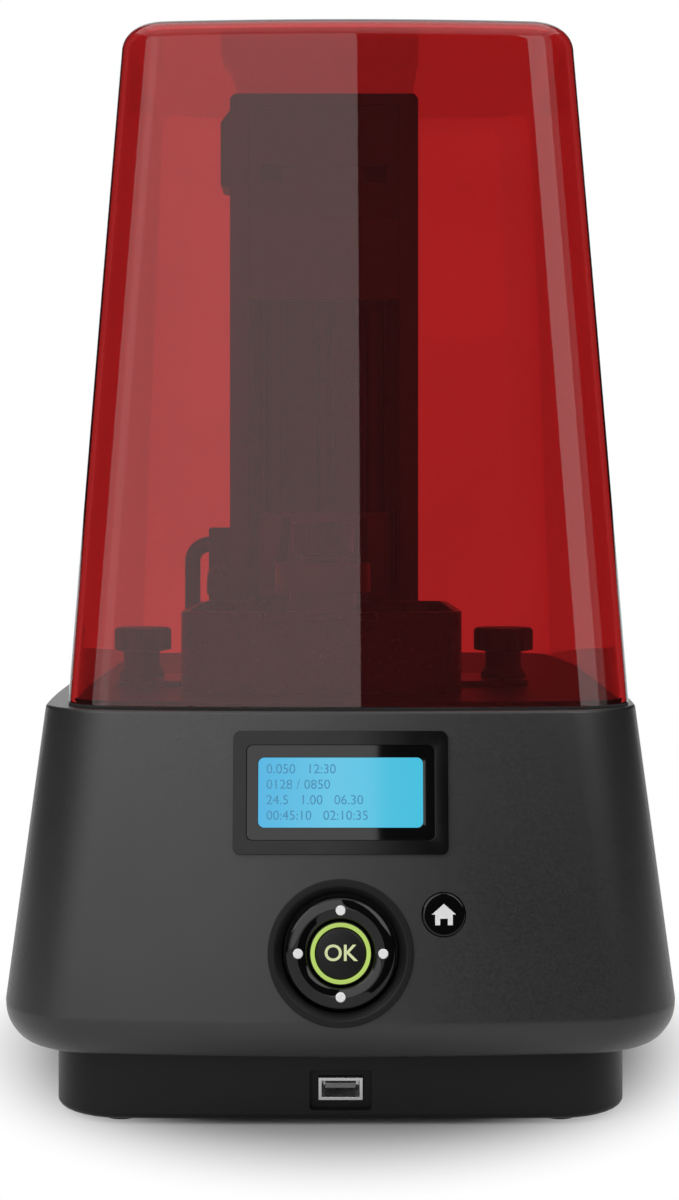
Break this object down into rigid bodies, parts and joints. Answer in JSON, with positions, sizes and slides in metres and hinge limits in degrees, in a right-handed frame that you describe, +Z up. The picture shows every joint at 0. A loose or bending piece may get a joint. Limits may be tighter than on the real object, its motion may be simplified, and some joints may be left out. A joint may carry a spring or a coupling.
{
  "type": "resin printer",
  "caption": "Desktop resin printer: see-through lift-off hood over a tank, lift column and build platform, on a bowed base with a display and a round keypad.",
  "frame": {"origin": "on the table under the middle of the object's box", "axes": "+Z up, the display and keypad face -Y, +X is right as seen from the front"},
  "size_m": [0.265, 0.3389, 0.43],
  "materials": {
    "charcoal_housing": "fine matte moulded texture",
    "black_plastic": "satin moulded",
    "gloss_black": "polished",
    "smoked_tank": "satin",
    "red_hood": "clear tinted acrylic",
    "lcd_blue": "lit display",
    "lime_light": "translucent light ring",
    "white_plastic": "moulded",
    "rubber": "matte",
    "steel": "brushed",
    "dark_metal": "black powder coat",
    "aluminium": "grey anodised",
    "bronze": "machined",
    "circuit_board": "solder mask",
    "clear_glass": "polished",
    "mirror": "front-silvered"
  },
  "bodies": {
    "base": {"base_shell": "charcoal_housing", "rear_panel": "charcoal_housing", "base_tray": "black_plastic", "keypad_dish": "black_plastic", "deck_plate": "black_plastic", "power_inlet": "black_plastic", "switch_body": "black_plastic", "fan_housing": "black_plastic", "head_cover": "black_plastic", "upper_cover": "black_plastic", "cable_cover": "black_plastic", "fill_block": "black_plastic", "fill_pump": "black_plastic", "lcd_bezel": "gloss_black", "resin_tank": "smoked_tank", "lcd_screen": "lcd_blue", "ok_light_ring": "lime_light", "usb_tongue": "white_plastic", "rubber_feet": "rubber", "hood_gasket": "rubber", "tray_screws": "steel", "fan_screws": "steel", "foot_screws": "steel", "rail_screws": "steel", "usb_port": "steel", "screw_bearing": "steel", "fill_pipe": "steel", "fill_nozzle": "steel", "column_frame": "dark_metal", "column_foot": "dark_metal", "motor_plate": "dark_metal", "z_motor": "dark_metal", "optics_frame": "dark_metal", "light_engine": "dark_metal", "power_supply": "dark_metal", "guide_rods": "dark_metal", "lens_barrel": "aluminium", "lcd_module": "circuit_board", "key_board": "circuit_board", "control_board": "circuit_board", "exposure_window": "clear_glass", "tank_window": "clear_glass", "fold_mirror": "mirror"},
    "hood": {"hood": "red_hood"},
    "platform": {"carriage": "aluminium", "bushings": "bronze", "lead_nut": "bronze", "platform_arm": "aluminium", "build_plate": "aluminium"},
    "platform_knob": {"platform_knob": "black_plastic"},
    "lead_screw": {"lead_screw": "dark_metal"},
    "tank_knob_left": {"tank_knob_left": "black_plastic"},
    "tank_knob_right": {"tank_knob_right": "black_plastic"},
    "ok_button": {"ok_button": "gloss_black"},
    "home_button": {"home_button": "gloss_black"},
    "nav_gimbal": {"nav_gimbal": "black_plastic"},
    "nav_ring": {"nav_ring": "gloss_black", "nav_dots": "white_plastic"},
    "switch_rocker": {"switch_rocker": "gloss_black"},
    "fan_rotor": {"fan_rotor": "black_plastic"}
  },
  "joints": [
    {"name": "hood_lift", "type": "slide", "parent": "base", "child": "hood", "axis": [0, 0, 1], "range_m": [0, 0.28]},
    {"name": "platform_lift", "type": "slide", "parent": "base", "child": "platform", "axis": [0, 0, 1], "range_m": [-0.0015, 0.1]},
    {"name": "lead_screw_turn", "type": "hinge", "parent": "base", "child": "lead_screw", "pos_m": [-0.0075, 0.055, 0.2], "axis": [0, 0, 1], "range_deg": [-90, 4530]},
    {"name": "platform_knob_turn", "type": "hinge", "parent": "platform", "child": "platform_knob", "pos_m": [-0.0075, -0.054, 0.21], "axis": [0, 0, 1], "range_deg": [0, 1080]},
    {"name": "tank_knob_left_turn", "type": "hinge", "parent": "base", "child": "tank_knob_left", "pos_m": [-0.0832, -0.054, 0.165], "axis": [0, 0, 1], "range_deg": [0, 1080]},
    {"name": "tank_knob_right_turn", "type": "hinge", "parent": "base", "child": "tank_knob_right", "pos_m": [0.0682, -0.054, 0.165], "axis": [0, 0, 1], "range_deg": [0, 1080]},
    {"name": "ok_press", "type": "slide", "parent": "base", "child": "ok_button", "axis": [0, 0.9933, -0.116], "range_m": [0, 0.0012], "stiffness_N_per_m": 800},
    {"name": "home_press", "type": "slide", "parent": "base", "child": "home_button", "axis": [-0.0464, 0.9922, -0.1158], "range_m": [0, 0.001], "stiffness_N_per_m": 800},
    {"name": "nav_tilt_up_down", "type": "hinge", "parent": "base", "child": "nav_gimbal", "pos_m": [0, -0.15855, 0.06617], "axis": [1, 0, 0], "range_deg": [-3, 3], "stiffness_Nm_per_rad": 0.3},
    {"name": "nav_tilt_left_right", "type": "hinge", "parent": "nav_gimbal", "child": "nav_ring", "pos_m": [0, -0.15974, 0.0663], "axis": [0, 0.116, 0.9933], "range_deg": [-3, 3], "stiffness_Nm_per_rad": 0.3},
    {"name": "mains_switch", "type": "hinge", "parent": "base", "child": "switch_rocker", "pos_m": [-0.02673, 0.15625, 0.07507], "axis": [-0.9994, -0.0333, -0.0039], "range_deg": [0, 20]},
    {"name": "fan_spin", "type": "hinge", "parent": "base", "child": "fan_rotor", "pos_m": [0.04717, 0.14933, 0.07438], "axis": [0.0596, 0.9915, 0.1157], "continuous": true}
  ],
  "couplings": [
    {"joint": "lead_screw_turn", "follows": "platform_lift", "rad_per_m": 785.4}
  ]
}
